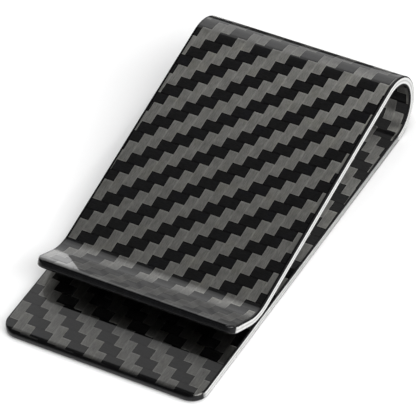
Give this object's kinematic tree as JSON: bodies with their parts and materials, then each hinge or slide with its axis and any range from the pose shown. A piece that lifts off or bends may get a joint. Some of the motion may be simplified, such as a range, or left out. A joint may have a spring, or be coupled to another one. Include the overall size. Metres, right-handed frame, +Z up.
{
  "type": "money clip",
  "caption": "Folded-strip money clip of laminated carbon fibre: a flat base, a round bend and a sloping spring arm that ends in a raised lip.",
  "frame": {"origin": "middle of the clip's footprint, on the surface that the base lies on", "axes": "+X across the strip's width, +Y along the base towards the bend, +Z up from the base to the arm"},
  "size_m": [0.04, 0.0772, 0.0138],
  "materials": {
    "face_twill": "clear-coated 2 by 2 twill of 3K carbon fibre, tows about 2 mm wide",
    "core_laminate": "sawn and sanded laminate edge, pale and satin",
    "centre_laminate": "sawn and sanded laminate edge, a greyer middle line"
  },
  "bodies": {
    "base": {"base_outer_face_ply": "face_twill", "base_outer_core_ply": "core_laminate", "base_centre_ply": "centre_laminate", "base_inner_core_ply": "core_laminate", "base_inner_face_ply": "face_twill"},
    "arm": {"arm_outer_face_ply": "face_twill", "arm_outer_core_ply": "core_laminate", "arm_centre_ply": "centre_laminate", "arm_inner_core_ply": "core_laminate", "arm_inner_face_ply": "face_twill"}
  },
  "joints": [
    {"name": "bend_flex", "type": "hinge", "parent": "base", "child": "arm", "pos_m": [0, 0.0386, 0.0069], "axis": [-1, 0, 0], "range_deg": [0, 8], "stiffness_Nm_per_rad": 12}
  ]
}
